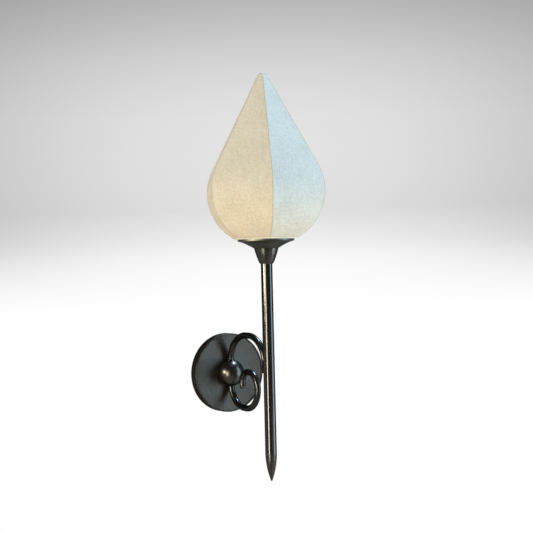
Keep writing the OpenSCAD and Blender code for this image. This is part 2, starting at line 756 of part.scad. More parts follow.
// One wire on the +X side, from its stored lead behind the wall plate to its terminal
module wire_course() {
    x = wire_gap / 2;
    r = wire_bend_r;
    lead_depth = stud_back - r;
    corner_r = 4 * r;
    level_plane() {
        bend([x + r, stud_back], r, 180, 270, wire_d);
        straight([x + r, lead_depth], 0, lead_side - corner_r - x - r, wire_d);
    }
    face_plane() translate([0, 0, lead_depth]) {
        bend([lead_side - corner_r, corner_r], corner_r, -90, 0, wire_d);
        straight([lead_side, corner_r], 90, lead_up, wire_d);
    }
    translate([x, 0, 0]) arm_course(180, 0, wire_d);
    translate([x, 0, 0]) scroll_plane() {
        straight([stud_back, 0], 0, hub_depth - hub_bend_r - stud_back, wire_d);
        bend([hub_depth - hub_bend_r, hub_bend_r], hub_bend_r, -90, 0, wire_d);
        straight([hub_depth, hub_bend_r], 90, arm_rise - hub_bend_r, wire_d);
        bend([arm_end + turn_r, arm_rise], turn_r, 180, 360, wire_d);
        straight([stem_depth, arm_rise], 90, wire_turn_z - arm_rise, wire_d);
    }
    face_plane() translate([0, 0, stem_depth]) {
        bend([x + r, wire_turn_z], r, 90, 180, wire_d);
        straight([x + r, terminal_z], 0, terminal_gap / 2 - terminal_d - x - r, wire_d);
    }
}

module line_wire() color([0.12, 0.12, 0.12]) wire_course();

module neutral_wire() color([0.92, 0.92, 0.90]) mirror([1, 0, 0]) wire_course();

module wire_tips() color(copper) face_plane() for (side = [0, 1]) mirror([side, 0, 0]) {
    translate([0, 0, stud_back - wire_bend_r])
        straight([lead_side, 4 * wire_bend_r + lead_up], 90, strip_l, copper_d);
    translate([0, 0, stem_depth]) straight(
        [terminal_gap / 2 - terminal_d, terminal_z], 0, terminal_d / 2 - fit, copper_d);
}

// ---- Pieces ----------------------------------------------------------------------------

wall_plate();
mounting_strap();
rim_nuts();
lock_screws();
ground_screw();
ground_wire();
hub_ball();
hub_washer();
hub_nut();
scroll_arm();
lower_scroll();
stem();
stem_point();
stem_bushing();
neck_cup();
shade_dish();
clamp_pipe();
pipe_nut();
holder_cap();
holder_body();
screw_shell();
centre_contact();
terminal_screws();
line_wire();
neutral_wire();
wire_tips();
bulb_contact();
bulb_insulator();
bulb_cap();
bulb_glass();
panel_1();
panel_2();
panel_3();
panel_4();
panel_5();
panel_6();
edge_trim();
frame_ring();
frame_ribs();
apex_hub();
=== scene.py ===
"""Torch sconce: finishes for every piece, the spun plate, brazing and seams, and the studio.

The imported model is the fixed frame. All lengths are metres in that frame: the wall is the plane
Y = 0, the room is on its -Y side and +Z is up.
"""

import logging
import math
from dataclasses import dataclass, field
from enum import Enum
from typing import Any, Dict, List, Optional, Sequence, Tuple, Union

import bpy
from mathutils import Matrix, Vector


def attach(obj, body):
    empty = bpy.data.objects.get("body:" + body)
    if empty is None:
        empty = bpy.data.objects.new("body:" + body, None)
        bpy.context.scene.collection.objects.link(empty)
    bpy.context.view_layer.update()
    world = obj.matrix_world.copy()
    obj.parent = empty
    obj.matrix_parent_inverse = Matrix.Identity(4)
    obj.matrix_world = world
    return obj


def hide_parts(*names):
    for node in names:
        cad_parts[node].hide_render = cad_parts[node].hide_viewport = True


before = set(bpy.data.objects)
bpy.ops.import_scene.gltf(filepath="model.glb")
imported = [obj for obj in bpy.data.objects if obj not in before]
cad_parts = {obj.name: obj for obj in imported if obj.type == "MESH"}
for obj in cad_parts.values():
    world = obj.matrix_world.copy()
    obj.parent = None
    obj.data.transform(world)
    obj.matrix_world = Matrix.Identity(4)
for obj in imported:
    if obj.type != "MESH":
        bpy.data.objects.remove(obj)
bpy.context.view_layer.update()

LOG = logging.getLogger("torch_sconce")
MM = 0.001
SIDES = 6
STEM_DEPTH = 124.0 * MM
STEM_AXIS = (0.0, -STEM_DEPTH, 0.0)
SHADE_TURN = 3.6
HAIRLINE = 0.012 * MM
WELD = 1e-6
SENSOR_WIDTH = 36.0

Colour = Tuple[float, float, float]
Point = Tuple[float, float, float]
Feed = Union["Value", float, Sequence[float]]
Feeds = Dict[Union[int, str], Feed]


# ---- Shader maths ------------------------------------------------------------------------


class Value:
    """A shader socket that Python's operators work on."""

    def __init__(self, bench: "Bench", socket: bpy.types.NodeSocket) -> None:
        """Keeps the socket and the bench that makes its nodes."""
        self.bench = bench
        self.socket = socket

    def _math(self, operation: str, *terms: Feed) -> "Value":
        """The result of one Math node on these terms."""
        return self.bench.node("ShaderNodeMath", {"operation": operation}, dict(enumerate(terms)))

    def __add__(self, other: Feed) -> "Value":
        """Self plus other."""
        return self._math("ADD", self, other)

    __radd__ = __add__

    def __sub__(self, other: Feed) -> "Value":
        """Self minus other."""
        return self._math("SUBTRACT", self, other)

    def __rsub__(self, other: Feed) -> "Value":
        """Other minus self."""
        return self._math("SUBTRACT", other, self)

    def __mul__(self, other: Feed) -> "Value":
        """Self times other."""
        return self._math("MULTIPLY", self, other)

    __rmul__ = __mul__

    def larger(self, other: Feed) -> "Value":
        """The larger of self and other."""
        return self._math("MAXIMUM", self, other)

    def wave(self) -> "Value":
        """The sine of self, from 0 to 1."""
        return self._math("SINE", self) * 0.5 + 0.5

    def span(self, low: float, high: float, to_low: float = 0.0, to_high: float = 1.0) -> "Value":
        """A smooth step from to_low, where self is low, to to_high, where it is high."""
        return self.bench.node(
            "ShaderNodeMapRange",
            {"interpolation_type": "SMOOTHSTEP"},
            {0: self, 1: low, 2: high, 3: to_low, 4: to_high},
        )


class Bench:
    """A node tree in the making, of a material or of the world."""

    def __init__(self, owner: Union[bpy.types.Material, bpy.types.World]) -> None:
        """Clears the owner's node tree.

        Args:
            owner: The material or the world whose tree is made.
        """
        owner.use_nodes = True
        self.tree = owner.node_tree
        self.tree.nodes.clear()

    def node(
        self,
        kind: str,
        settings: Optional[Dict[str, Any]] = None,
        feeds: Optional[Feeds] = None,
        output: Union[int, str] = 0,
    ) -> Value:
        """Makes one node.

        Args:
            kind: The node's type.
            settings: Its settings, set first; "stops" holds a ramp's places and colours.
            feeds: A value or a link for each input, by name or number.
            output: The output that is wanted.

        Returns:
            That output.
        """
        made = self.tree.nodes.new(kind)
        for name, setting in (settings or {}).items():
            if name == "stops":
                self._set_stops(made.color_ramp, setting)
            else:
                setattr(made, name, setting)
        for key, feed in (feeds or {}).items():
            if isinstance(feed, Value):
                self.tree.links.new(feed.socket, made.inputs[key])
            else:
                made.inputs[key].default_value = feed
        return Value(self, made.outputs[output])

    @staticmethod
    def _set_stops(ramp: bpy.types.ColorRamp, stops: Sequence[Tuple[float, Colour]]) -> None:
        """Gives a ramp its stops.

        Args:
            ramp: The ramp.
            stops: The places, from 0 to 1, and their colours.
        """
        while len(ramp.elements) < len(stops):
            ramp.elements.new(1.0)
        for element, (place, colour) in zip(ramp.elements, stops):
            element.position = place
            element.color = (*colour, 1.0)

    def local(self, centre: Point = (0.0, 0.0, 0.0), turn: float = 0.0) -> Value:
        """The place on the piece, from a centre and turned about the upright axis.

        Args:
            centre: The point that becomes zero.
            turn: The angle by which the local axes are turned, in radians.

        Returns:
            The local coordinates, in metres.
        """
        place = self.node("ShaderNodeTexCoord", output="Object")
        return self.node(
            "ShaderNodeMapping",
            {"vector_type": "TEXTURE"},
            {"Vector": place, "Location": centre, "Rotation": (0.0, 0.0, turn)},
        )

    def vector(self, operation: str, *terms: Feed, output: int = 0) -> Value:
        """The result of one Vector Math node on these terms."""
        return self.node(
            "ShaderNodeVectorMath", {"operation": operation}, dict(enumerate(terms)), output
        )

    def part(self, at: Value, axis: int) -> Value:
        """One coordinate of a place, 0 to 2 for X to Z."""
        return self.node("ShaderNodeSeparateXYZ", feeds={0: at}, output=axis)

    def reach(self, at: Value, axis: Point) -> Value:
        """The distance from an axis, given as the two other axes' unit factors."""
        return self.vector("LENGTH", self.vector("MULTIPLY", at, axis), output=1)

    def noise(
        self,
        at: Value,
        size: Union[float, Point],
        detail: float = 3.0,
        roughness: float = 0.5,
        low: float = 0.32,
        high: float = 0.68,
    ) -> Value:
        """Soft noise from 0 to 1.

        Args:
            at: The place.
            size: The size of its features, in metres, alike or on each axis.
            detail: How many finer layers it has.
            roughness: How strong they are.
            low: The raw value that becomes 0.
            high: The raw value that becomes 1.

        Returns:
            The noise.
        """
        sizes = size if isinstance(size, tuple) else (size,) * 3
        raw = self.node(
            "ShaderNodeTexNoise",
            feeds={
                "Vector": self.vector("MULTIPLY", at, tuple(1.0 / s for s in sizes)),
                "Scale": 1.0,
                "Detail": detail,
                "Roughness": roughness,
            },
        )
        return raw.span(low, high)

    def bands(self, along: Value, size: float) -> Value:
        """Noise from 0 to 1 that changes with one length alone.

        Args:
            along: The length, in metres.
            size: The size of its features, in metres.

        Returns:
            The noise.
        """
        raw = self.node(
            "ShaderNodeTexNoise",
            {"noise_dimensions": "1D"},
            {"W": along * (1.0 / size), "Scale": 1.0, "Detail": 3.0},
        )
        return raw.span(0.3, 0.7)

    def blend(self, share: Feed, low: Feed, high: Feed, how: str = "MIX") -> Value:
        """A colour between two, or their product where how is MULTIPLY.

        Args:
            share: How much of the second shows, from 0 to 1.
            low: The first colour.
            high: The second colour.
            how: The Mix node's blend type.

        Returns:
            The colour.
        """
        feeds = {0: share, 6: self._full(low), 7: self._full(high)}
        return self.node(
            "ShaderNodeMix", {"data_type": "RGBA", "blend_type": how}, feeds, output=2
        )

    @staticmethod
    def _full(colour: Feed) -> Feed:
        """A colour with its fourth number, or a link as it is."""
        return colour if isinstance(colour, Value) else (*colour, 1.0)

    def grey(self, value: Value) -> Value:
        """A value as a grey colour."""
        return self.node("ShaderNodeCombineColor", feeds={0: value, 1: value, 2: value})

    def relief(self, height: Value, depth: float, below: Optional[Value] = None) -> Value:
        """A bumped normal.

        Args:
            height: The height, from 0 to 1.
            depth: The depth of the full range, in metres.
            below: The normal that it adds to.

        Returns:
            The normal.
        """
        feeds: Feeds = {"Height": height, "Distance": depth}
        if below is not None:
            feeds["Normal"] = below
        return self.node("ShaderNodeBump", feeds=feeds)

    def surface(self, **feeds: Feed) -> Value:
        """A Principled surface, its inputs named with _ for spaces."""
        named: Feeds = {name.replace("_", " "): feed for name, feed in feeds.items()}
        return self.node("ShaderNodeBsdfPrincipled", feeds=named)

    def close(self, shader: Value, kind: str = "ShaderNodeOutputMaterial") -> None:
        """Links a shader to the tree's output."""
        end = self.tree.nodes.new(kind)
        self.tree.links.new(shader.socket, end.inputs["Surface"])


def new_material(name: str) -> Tuple[bpy.types.Material, Bench]:
    """An empty material and its bench.

    Args:
        name: The material's name.

    Returns:
        The material and the bench that fills it.
    """
    material = bpy.data.materials.new(name)
    return material, Bench(material)


# ---- Finishes ----------------------------------------------------------------------------


class Finish:
    """What every finish shares: it is laid as the one surface of a material."""

    def lay(self, bench: Bench) -> Value:
        """The finish's surface, made on a material's bench."""
        raise NotImplementedError

    def make(self, name: str) -> bpy.types.Material:
        """The finish as a material.

        Args:
            name: The material's name.

        Returns:
            The material.
        """
        material, bench = new_material(name)
        bench.close(self.lay(bench))
        return material


class Tooling(Enum):
    """How a bronze piece was worked, which sets the marks that its surface keeps."""

    SPUN = "spun, with rings about the plate's axis"
    TURNED = "turned, with rings about the stem's axis"
    DRAWN = "drawn tube, with lines along it"
    FORGED = "bent hot, with soft dents"


@dataclass(frozen=True)
class Bronze(Finish):
    """Blackened bronze, waxed and rubbed by hand so that brown shows through on high spots.

    Attributes:
        tooling: How the piece was worked.
        ground: The colour of the dark finish.
        roughness: Its mean roughness.
        centre: A point on the piece's axis.
        rubbed: The colour where the dark finish has worn.
        rub: How much of that colour shows at most.
        skirt_shade: The colour painted on the skirt as shade.
        skirt: The radius at which that painted shade starts, or 0 for a piece without one.
        patch: The size of the worn patches.
        patchiness: How much the roughness changes between them.
        ring_pitch: The pitch of turned or spun rings.
        grain: The depth of the fine pits.
        grain_size: Their size.
        dent: The depth of the soft dents on a forged piece.
    """

    tooling: Tooling
    ground: Colour
    roughness: float
    centre: Point = (0.0, 0.0, 0.0)
    rubbed: Colour = (0.095, 0.070, 0.044)
    rub: float = 0.12
    skirt_shade: Colour = (0.012, 0.012, 0.010)
    skirt: float = 0.0
    patch: float = 11 * MM
    patchiness: float = 0.06
    ring_pitch: float = 0.55 * MM
    grain: float = 0.003 * MM
    grain_size: float = 0.8 * MM
    dent: float = 0.07 * MM

    def lay(self, bench: Bench) -> Value:
        """The bronze, with its worn places, its gloss and its tool marks.

        Args:
            bench: The bench of the material.

        Returns:
            The surface.
        """
        at = bench.local(self.centre)
        patches = bench.noise(at, self.patch, detail=4.0)
        specks = bench.noise(at, 1.3 * MM, detail=3.0, low=0.42, high=0.72)
        worn = patches * specks
        marks, depth = self._marks(bench, at)
        colour = bench.blend(worn * self.rub, self.ground, self.rubbed)
        # Painted shade: the plate's skirt is darkened here, standing in for the shade that its side
        # wall sits in.
        if self.skirt:
            out = bench.reach(at, (1.0, 0.0, 1.0))
            skirt_shade_share = out.span(self.skirt, self.skirt + 0.8 * MM, 0.0, 0.55)
            colour = bench.blend(skirt_shade_share, colour, self.skirt_shade)
        streaks = bench.noise(at, (3 * MM, 3 * MM, 14 * MM), detail=2.0)
        rough = self.roughness + (patches - 0.5) * self.patchiness + streaks * 0.04
        pits = bench.relief(bench.noise(at, self.grain_size, detail=3.0), self.grain)
        return bench.surface(
            Base_Color=colour,
            Metallic=0.9,
            Roughness=rough,
            Specular_Tint=(0.18, 0.19, 0.20, 1.0),
            Normal=bench.relief(marks, depth, pits),
        )

    def _marks(self, bench: Bench, at: Value) -> Tuple[Value, float]:
        """The height of the tool's marks and their depth.

        Args:
            bench: The bench of the material.
            at: The place on the piece.

        Returns:
            The height from 0 to 1, and the depth of that range in metres.
        """
        turns = 2.0 * math.pi / self.ring_pitch
        if self.tooling is Tooling.SPUN:
            out = bench.reach(at, (1.0, 0.0, 1.0))
            return (out * turns).wave() * 0.6 + bench.bands(out, 2.2 * MM) * 1.2, 0.045 * MM
        if self.tooling is Tooling.TURNED:
            out = bench.reach(at, (1.0, 1.0, 0.0)) + bench.part(at, 2)
            return (out * turns).wave() * 0.4 + bench.bands(out, 1.6 * MM), 0.012 * MM
        if self.tooling is Tooling.DRAWN:
            return bench.noise(at, (1.2 * MM, 1.2 * MM, 90 * MM), detail=3.0), 0.003 * MM
        return bench.noise(at, 7 * MM, detail=2.0), self.dent


@dataclass(frozen=True)
class Parchment(Finish):
    """Natural shade cloth stiffened with size: uneven threads both ways, and soft blotches.

    Attributes:
        turn: The panel's heading, in radians, which squares the weave to it.
        pale: The cloth's lightest colour.
        deep: Its darkest colour.
        fleck: The colour of stray fibres.
        flecked: How strongly they show.
        foot_light_tint: What the colour is multiplied by at the foot, a painted warm light from
            below.
        top_light_tint: The same further up, a painted cool light from above.
        light_tint_heights: The heights between which the one painted light passes into the other.
        thread: The pitch of the threads.
        contrast: How far the tones are spread.
        swell: The depth of the soft blisters.
        weave_depth: The depth of the threads.
    """

    turn: float
    pale: Colour = (0.71, 0.695, 0.63)
    deep: Colour = (0.575, 0.545, 0.47)
    fleck: Colour = (0.40, 0.34, 0.25)
    foot_light_tint: Colour = (1.045, 0.925, 0.79)
    top_light_tint: Colour = (0.98, 0.99, 1.02)
    light_tint_heights: Tuple[float, float] = (194 * MM, 300 * MM)
    thread: float = 0.95 * MM
    flecked: float = 0.35
    contrast: float = 1.9
    swell: float = 0.10 * MM
    weave_depth: float = 0.12 * MM

    def lay(self, bench: Bench) -> Value:
        """The cloth, with its weave square to one panel.

        Args:
            bench: The bench of the material.

        Returns:
            The surface.
        """
        at = bench.local(STEM_AXIS, self.turn)
        upright = bench.noise(at, (0.9 * MM, 30 * MM, 7 * MM), detail=2.0)
        level = bench.noise(at, (7 * MM, 30 * MM, 0.9 * MM), detail=2.0)
        blotch = bench.noise(at, 2.6 * MM, detail=5.0, roughness=0.7)
        cloud = bench.noise(at, 36 * MM, detail=2.0)
        turns = 2.0 * math.pi / self.thread
        warp = (bench.part(at, 0) * turns).wave()
        weft = (bench.part(at, 2) * turns).wave()
        weave = warp.larger(weft)
        slubs = upright * 0.5 + level * 0.5
        tone = slubs * 0.30 + blotch * 0.46 + cloud * 0.16 + weave * 0.08
        tone = (tone - 0.5) * self.contrast + 0.5
        colour = bench.blend(tone, self.deep, self.pale)
        flecks = bench.noise(at, 1.1 * MM, detail=1.0, low=0.60, high=0.72)
        colour = bench.blend(flecks * self.flecked, colour, self.fleck)
        # Painted light: the colour is warmed at the foot and cooled a little higher up, as the
        # light falls there, by height alone.
        light_tint_share = bench.part(at, 2).span(*self.light_tint_heights)
        painted_tint = bench.blend(light_tint_share, self.foot_light_tint, self.top_light_tint)
        colour = bench.blend(1.0, colour, painted_tint, "MULTIPLY")
        height = weave * 0.35 + slubs * 0.65
        soft = bench.relief(blotch, self.swell)
        return bench.surface(
            Base_Color=colour,
            Roughness=0.74 + slubs * 0.12,
            Specular_IOR_Level=0.3,
            Sheen_Weight=0.08,
            Sheen_Roughness=0.5,
            Normal=bench.relief(height, self.weave_depth, soft),
        )


@dataclass(frozen=True)
class Tape(Finish):
    """Cream cotton tape that binds the shade's edges."""

    colour: Colour = (0.86, 0.80, 0.64)
    shade: Colour = (0.74, 0.67, 0.50)

    def lay(self, bench: Bench) -> Value:
        """The tape, with its fibres and soiled places.

        Args:
            bench: The bench of the material.

        Returns:
            The surface.
        """
        at = bench.local(STEM_AXIS)
        fibres = bench.noise(at, 0.6 * MM, detail=3.0)
        soil = bench.noise(at, 9 * MM, detail=3.0)
        colour = bench.blend(fibres * 0.3 + soil * 0.35, self.colour, self.shade)
        return bench.surface(
            Base_Color=colour,
            Roughness=0.8,
            Specular_IOR_Level=0.25,
            Normal=bench.relief(fibres, 0.08 * MM),
        )


@dataclass(frozen=True)
class BareMetal(Finish):
    """A plain metal that is dulled a little, with fine scratches and a few stains."""

    colour: Colour
    stain: Colour
    stained: float = 0.4
    roughness: float = 0.34
    scratch: Point = (0.5 * MM, 0.5 * MM, 12 * MM)

    def lay(self, bench: Bench) -> Value:
        """The metal, with its stains and scratches.

        Args:
            bench: The bench of the material.

        Returns:
            The surface.
        """
        at = bench.local()
        stains = bench.noise(at, 6 * MM, detail=5.0, roughness=0.6)
        scratches = bench.noise(at, self.scratch, detail=2.0)
        colour = bench.blend(stains * self.stained, self.colour, self.stain)
        return bench.surface(
            Base_Color=colour,
            Metallic=1.0,
            Roughness=self.roughness + stains * 0.14 + scratches * 0.08,
            Normal=bench.relief(scratches, HAIRLINE),
        )


@dataclass(frozen=True)
class Spangle(Finish):
    """Zinc-plated steel, pale grey with a faint yellow cast and cloudy patches."""

    colour: Colour = (0.60, 0.61, 0.62)
    cast: Colour = (0.56, 0.54, 0.46)

    def lay(self, bench: Bench) -> Value:
        """The plating, with its clouds and grain.

        Args:
            bench: The bench of the material.

        Returns:
            The surface.
        """
        at = bench.local()
        clouds = bench.noise(at, 8 * MM, detail=5.0, roughness=0.55)
        grain = bench.noise(at, 0.8 * MM, detail=3.0)
        return bench.surface(
            Base_Color=bench.blend(clouds, self.colour, self.cast),
            Metallic=1.0,
            Roughness=0.36 + clouds * 0.16 + grain * 0.06,
            Normal=bench.relief(grain, 0.01 * MM),
        )


@dataclass(frozen=True)
class Glaze(Finish):
    """Porcelain under a clear glaze, with a little iron speck in the body."""

    body: Colour = (0.74, 0.72, 0.67)
    speck: Colour = (0.50, 0.43, 0.34)

    def lay(self, bench: Bench) -> Value:
        """The porcelain, with its specks under the glaze.

        Args:
            bench: The bench of the material.

        Returns:
            The surface.
        """
        at = bench.local()
        specks = bench.noise(at, 1.4 * MM, detail=2.0, low=0.66, high=0.74)
        flow = bench.noise(at, 7 * MM, detail=2.0)
        return bench.surface(
            Base_Color=bench.blend(specks * 0.6, self.body, self.speck),
            Roughness=0.22 + flow * 0.1,
            Coat_Weight=0.6,
            Coat_Roughness=0.06,
            Normal=bench.relief(flow, 0.08 * MM),
        )


@dataclass(frozen=True)
class Coated(Finish):
    """Plastic, paint or glass paste: a coloured body with a fine grain and handling marks."""

    colour: Colour
    worn: Colour
    roughness: float
    gloss: float = 0.0

    def lay(self, bench: Bench) -> Value:
        """The coating, with its grain and handling marks.

        Args:
            bench: The bench of the material.

        Returns:
            The surface.
        """
        at = bench.local()
        marks = bench.noise(at, 3.5 * MM, detail=4.0)
        grain = bench.noise(at, 0.5 * MM, detail=2.0)
        return bench.surface(
            Base_Color=bench.blend(marks * 0.5, self.colour, self.worn),
            Roughness=self.roughness + marks * 0.12,
            Coat_Weight=self.gloss,
            Normal=bench.relief(grain, HAIRLINE),
        )


@dataclass(frozen=True)
class Frosted(Finish):
    """Bulb glass etched inside, milky and a little uneven."""

    colour: Colour = (0.86, 0.86, 0.83)
    frost: Colour = (0.80, 0.81, 0.79)

    def lay(self, bench: Bench) -> Value:
        """The glass, with its frost and its slow waves.

        Args:
            bench: The bench of the material.

        Returns:
            The surface.
        """
        at = bench.local(STEM_AXIS)
        frost = bench.noise(at, 2.5 * MM, detail=4.0)
        return bench.surface(
            Base_Color=bench.blend(frost, self.colour, self.frost),
            Roughness=0.26 + frost * 0.1,
            Transmission_Weight=0.25,
            IOR=1.45,
            Normal=bench.relief(bench.noise(at, 14 * MM), 0.1 * MM),
        )


# ---- Modelling moves ---------------------------------------------------------------------


class Hand:
    """The modelling moves that every piece shares."""

    @staticmethod
    def free() -> None:
        """Leaves nothing selected."""
        if bpy.context.object and bpy.context.object.mode != "OBJECT":
            bpy.ops.object.mode_set(mode="OBJECT")
        bpy.ops.object.select_all(action="DESELECT")

    @staticmethod
    def take(obj: bpy.types.Object) -> None:
        """Selects one object alone and makes it active.

        Args:
            obj: The object.
        """
        Hand.free()
        obj.select_set(True)
        bpy.context.view_layer.objects.active = obj

    @staticmethod
    def draw(points: Sequence[Point], closed: bool) -> bpy.types.Object:
        """Draws a line of edges through some points, one extruded from the last.

        Args:
            points: The points, in place.
            closed: Whether the last one joins the first.

        Returns:
            The line, as an object in object mode.
        """
        Hand.free()
        bpy.ops.mesh.primitive_plane_add(size=MM, location=points[0])
        line = bpy.context.object
        bpy.ops.object.mode_set(mode="EDIT")
        bpy.ops.mesh.select_all(action="SELECT")
        bpy.ops.mesh.merge(type="CENTER")
        ends = list(points[1:]) + ([points[0]] if closed else [])
        for before, after in zip(points, ends):
            step = Vector(after) - Vector(before)
            bpy.ops.mesh.extrude_region_move(TRANSFORM_OT_translate={"value": tuple(step)})
        bpy.ops.mesh.select_all(action="SELECT")
        bpy.ops.mesh.remove_doubles(threshold=WELD)
        bpy.ops.object.mode_set(mode="OBJECT")
        return line

    @staticmethod
    def lathe(
        outline: Sequence[Point], name: str, centre: Point, axis: Point, steps: int
    ) -> bpy.types.Object:
        """Turns a closed outline about an axis.

        Args:
            outline: The outline's corners, in a plane through the axis.
            name: The piece's name.
            centre: A point on the axis.
            axis: The axis's direction.
            steps: How many steps the turn has.

        Returns:
            The piece.
        """
        piece = Hand.draw(outline, closed=True)
        bpy.ops.object.mode_set(mode="EDIT")
        bpy.ops.mesh.select_all(action="SELECT")
        bpy.ops.mesh.spin(steps=steps, angle=2.0 * math.pi, center=centre, axis=axis)
        bpy.ops.mesh.select_all(action="SELECT")
        bpy.ops.mesh.remove_doubles(threshold=2.0 * WELD)
        bpy.ops.mesh.normals_make_consistent(inside=False)
        bpy.ops.object.mode_set(mode="OBJECT")
        return Hand.settle(piece, name, 30.0)

    @staticmethod
    def roll(course: Sequence[Point], name: str, radius: float) -> bpy.types.Object:
        """Makes a round cord that follows a course.

        Args:
            course: The points that its middle passes through.
            name: The piece's name.
            radius: The cord's radius.

        Returns:
            The piece, a closed mesh.
        """
        cord = Hand.draw(course, closed=False)
        bpy.ops.object.convert(target="CURVE")
        cord.data.bevel_depth = radius
        cord.data.bevel_resolution = 2
        cord.data.use_fill_caps = True
        bpy.ops.object.convert(target="MESH")
        bpy.ops.object.mode_set(mode="EDIT")
        bpy.ops.mesh.select_all(action="SELECT")
        bpy.ops.mesh.remove_doubles(threshold=WELD)
        bpy.ops.mesh.normals_make_consistent(inside=False)
        bpy.ops.object.mode_set(mode="OBJECT")
        return Hand.settle(bpy.context.object, name, 50.0)

    @staticmethod
    def drill(piece: bpy.types.Object, centre: Point, radius: float, length: float) -> None:
        """Drills an upright hole through a piece.

        Args:
            piece: The piece.
            centre: The hole's middle.
            radius: The drill's radius.
            length: How much of the drill is cut with.
        """
        Hand.free()
        bpy.ops.mesh.primitive_cylinder_add(
            vertices=32, radius=radius, depth=length, location=centre
        )
        bit = bpy.context.object
        Hand.take(piece)
        cut = piece.modifiers.new("drill", "BOOLEAN")
        cut.operation, cut.object, cut.solver = "DIFFERENCE", bit, "EXACT"
        bpy.ops.object.modifier_apply(modifier=cut.name)
        bpy.data.objects.remove(bit)

    @staticmethod
    def settle(obj: bpy.types.Object, name: str, angle: float = 40.0) -> bpy.types.Object:
        """Puts a piece's place into its mesh and smooths its gentle edges.

        Args:
            obj: The piece.
            name: Its name from now on.
            angle: The sharpest angle that is smoothed, in degrees.

        Returns:
            The piece.
        """
        Hand.take(obj)
        bpy.ops.object.transform_apply(location=True, rotation=True, scale=True)
        bpy.ops.object.shade_smooth_by_angle(angle=math.radians(angle))
        obj.name = name
        obj.data.name = name
        return obj


def dress(node: str, material: bpy.types.Material) -> None:
    """Gives a CAD node a finish.

    Args:
        node: The node's name.
        material: The finish.
    """
    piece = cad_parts[node]
    for place in piece.material_slots:
        place.material = material
    LOG.info("%s dressed in %s", node, material.name)


def hang(
    piece: bpy.types.Object,
    body: str,
    material: bpy.types.Material,
    stands_for: Sequence[str] = (),
) -> None:
    """Finishes a new piece and puts it on its body.

    Args:
        piece: The piece, in place.
        body: The body that it moves with.
        material: The finish.
        stands_for: The CAD nodes that it replaces.
    """
    piece.data.materials.clear()
    piece.data.materials.append(material)
    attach(piece, body)
    if stands_for:
        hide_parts(*stands_for)
    LOG.info("%s made, %d faces", piece.name, len(piece.data.polygons))


# ---- Sub-assemblies ----------------------------------------------------------------------


@dataclass
class WallPlate:
    """The spun plate, its strap and everything that fixes it to the wall."""

    radius: float = 60.3 * MM
    depth: float = 14.8 * MM
    sheet: float = 1.1 * MM
    bead: float = 1.15 * MM
    flat: float = 26.0 * MM
    face: float = 11.8 * MM
    rise: float = 1.5 * MM
    stud_hole: float = 6.55 * MM
    screw_hole: float = 2.05 * MM
    screw_depth: float = 5.2 * MM
    dish_steps: int = 9

    def _outline(self) -> List[Point]:
        """The plate's section: a flat middle, a slow dish, a fine bead and a straight skirt.

        Returns:
            The section's corners, in the plane through the plate's axis and +X.
        """
        foot = self.radius - 2.0 * self.bead
        shares = [i / self.dish_steps for i in range(self.dish_steps + 1)]
        dish = [
            (self.flat + (foot - self.flat) * share, self.face + self.rise * share**2)
            for share in shares
        ]
        middle = (self.radius - self.bead, self.depth - self.bead)
        turns = [math.radians(turn) for turn in range(180, -1, -15)]
        bead = [
            (middle[0] + self.bead * math.cos(turn), middle[1] + self.bead * math.sin(turn))
            for turn in turns
        ]
        skirt = [
            (self.radius, 0.4 * MM),
            (self.radius - 0.3 * MM, 0.0),
            (self.radius - self.sheet, 0.0),
            (self.radius - self.sheet, self.depth - self.bead - 0.6 * MM),
        ]
        under = [(out, height - self.sheet) for out, height in reversed(dish)]
        hole = [(self.stud_hole, self.face - self.sheet), (self.stud_hole, self.face)]
        section = [hole[1], *dish, *bead, *skirt, *under, hole[0]]
        return [(out, -height, 0.0) for out, height in section]

    def _plate(self) -> None:
        """Spins the plate and drills it for its two lock screws."""
        plate = Hand.lathe(self._outline(), "spun_plate", (0.0, 0.0, 0.0), (0.0, 1.0, 0.0), 144)
        for side in (1.0, -1.0):
            place = (0.0, -self.screw_depth, side * (self.radius - self.sheet / 2.0))
            Hand.drill(plate, place, self.screw_hole, 4.0 * self.sheet)
        finish = Bronze(
            Tooling.SPUN,
            (0.050, 0.0435, 0.0365),
            roughness=0.38,
            rub=0.8,
            # The plate's skirt gets its painted shade from this radius outwards.
            skirt=self.radius - 0.9 * MM,
            grain=0.075 * MM,
            grain_size=2.4 * MM,
        )
        hang(plate, "bracket", finish.make("bronze_spun"), ("wall_plate",))

    def build(self) -> None:
        """Spins the plate and dresses its fixings."""
        self._plate()
        zinc = Spangle().make("zinc_plated")
        for node in ("mounting_strap", "rim_nuts", "lock_screws", "hub_washer", "hub_nut"):
            dress(node, zinc)
        green = Coated((0.03, 0.22, 0.08), (0.10, 0.26, 0.12), roughness=0.4, gloss=0.3)
        dress("ground_screw", green.make("green_paint"))
        copper = BareMetal((0.72, 0.38, 0.22), (0.32, 0.18, 0.10), stained=0.6)
        dress("ground_wire", copper.make("copper"))


